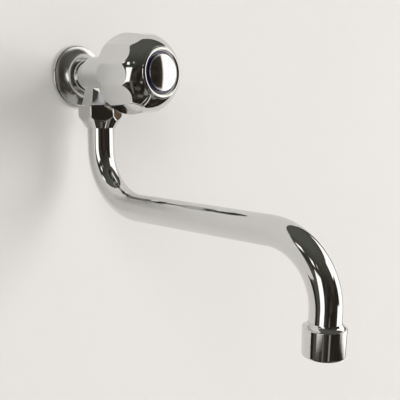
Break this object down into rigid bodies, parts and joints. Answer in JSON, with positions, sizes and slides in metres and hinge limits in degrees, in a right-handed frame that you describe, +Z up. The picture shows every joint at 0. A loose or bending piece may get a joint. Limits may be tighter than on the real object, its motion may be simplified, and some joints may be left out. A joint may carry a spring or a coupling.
{
  "type": "wall-mounted kitchen tap",
  "caption": "Single chromed wall tap with a fluted round knob in front, a union nut and an S-shaped swivelling pipe spout with an aerator.",
  "frame": {"origin": "where the axis of the inlet thread meets the finished wall, which is also the plane of the rosette's back rim", "axes": "+Y runs into the wall along the inlet thread, so the tap stands out along -Y; +Z is up; +X is to the right of someone who faces the tap"},
  "size_m": [0.0524, 0.2297, 0.1787],
  "materials": {
    "chrome": "polished, lightly worn",
    "brass": "machined",
    "steel": "bright",
    "rubber": "matt",
    "fibre": "pressed fibre",
    "blue_plastic": "glossy",
    "white_plastic": "moulded",
    "nylon": "moulded"
  },
  "bodies": {
    "body": {"tap_body": "chrome", "wall_rosette": "chrome", "bonnet_gasket": "fibre", "valve_bonnet": "brass", "union_nut": "chrome", "slip_ring": "nylon"},
    "knob": {"knob_shell": "chrome", "knob_core": "white_plastic", "knob_screw": "steel", "index_ring": "blue_plastic", "knob_cap": "chrome", "valve_spindle": "brass", "spindle_o_rings": "rubber", "spindle_circlip": "steel"},
    "plunger": {"valve_plunger": "brass", "seat_washer": "rubber", "washer_screw": "brass"},
    "spout": {"spout_pipe": "chrome", "swivel_ferrule": "brass", "swivel_o_rings": "rubber", "outlet_ring": "chrome", "aerator_housing": "chrome", "aerator_gasket": "rubber", "aerator_insert": "white_plastic", "aerator_screens": "steel"}
  },
  "joints": [
    {"name": "knob_turn", "type": "hinge", "parent": "body", "child": "knob", "pos_m": [0, -0.0513, 0], "axis": [0, -1, 0], "range_deg": [0, 720]},
    {"name": "plunger_lift", "type": "slide", "parent": "body", "child": "plunger", "axis": [0, -1, 0], "range_m": [0, 0.0041]},
    {"name": "spout_swivel", "type": "hinge", "parent": "body", "child": "spout", "pos_m": [0, -0.0238, 0], "axis": [0, 0, 1], "range_deg": [-90, 90]}
  ],
  "couplings": [
    {"joint": "plunger_lift", "follows": "knob_turn", "m_per_rad": 0.00031831}
  ]
}
